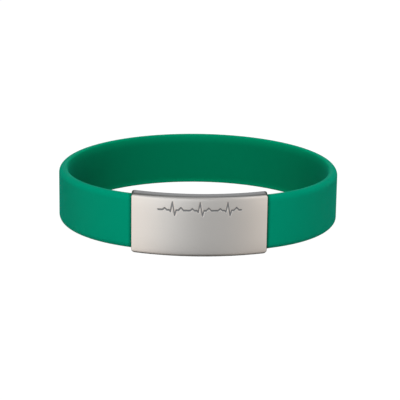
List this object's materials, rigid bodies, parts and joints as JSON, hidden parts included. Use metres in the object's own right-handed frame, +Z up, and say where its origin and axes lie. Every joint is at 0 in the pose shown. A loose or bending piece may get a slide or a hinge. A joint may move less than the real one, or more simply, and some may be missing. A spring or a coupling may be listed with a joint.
{
  "type": "medical alert bracelet",
  "caption": "Closed silicone wristband that runs through a curved, folded steel identity sleeve; worn on the wrist to show the wearer's medical details.",
  "frame": {"origin": "under the middle of the loop, on the surface that the sleeve's lower fold rests on", "axes": "+Z up along the loop's axis, -Y towards the sleeve at the front, +X to the right as one faces the sleeve"},
  "size_m": [0.0664, 0.0634, 0.0141],
  "materials": {
    "silicone": "matte green silicone with a soft sheen on its rounded edges",
    "steel": "satin stainless steel, finely brushed, with a dark engraved line"
  },
  "bodies": {
    "root": {"band": "silicone", "id_sleeve": "steel"}
  },
  "joints": []
}
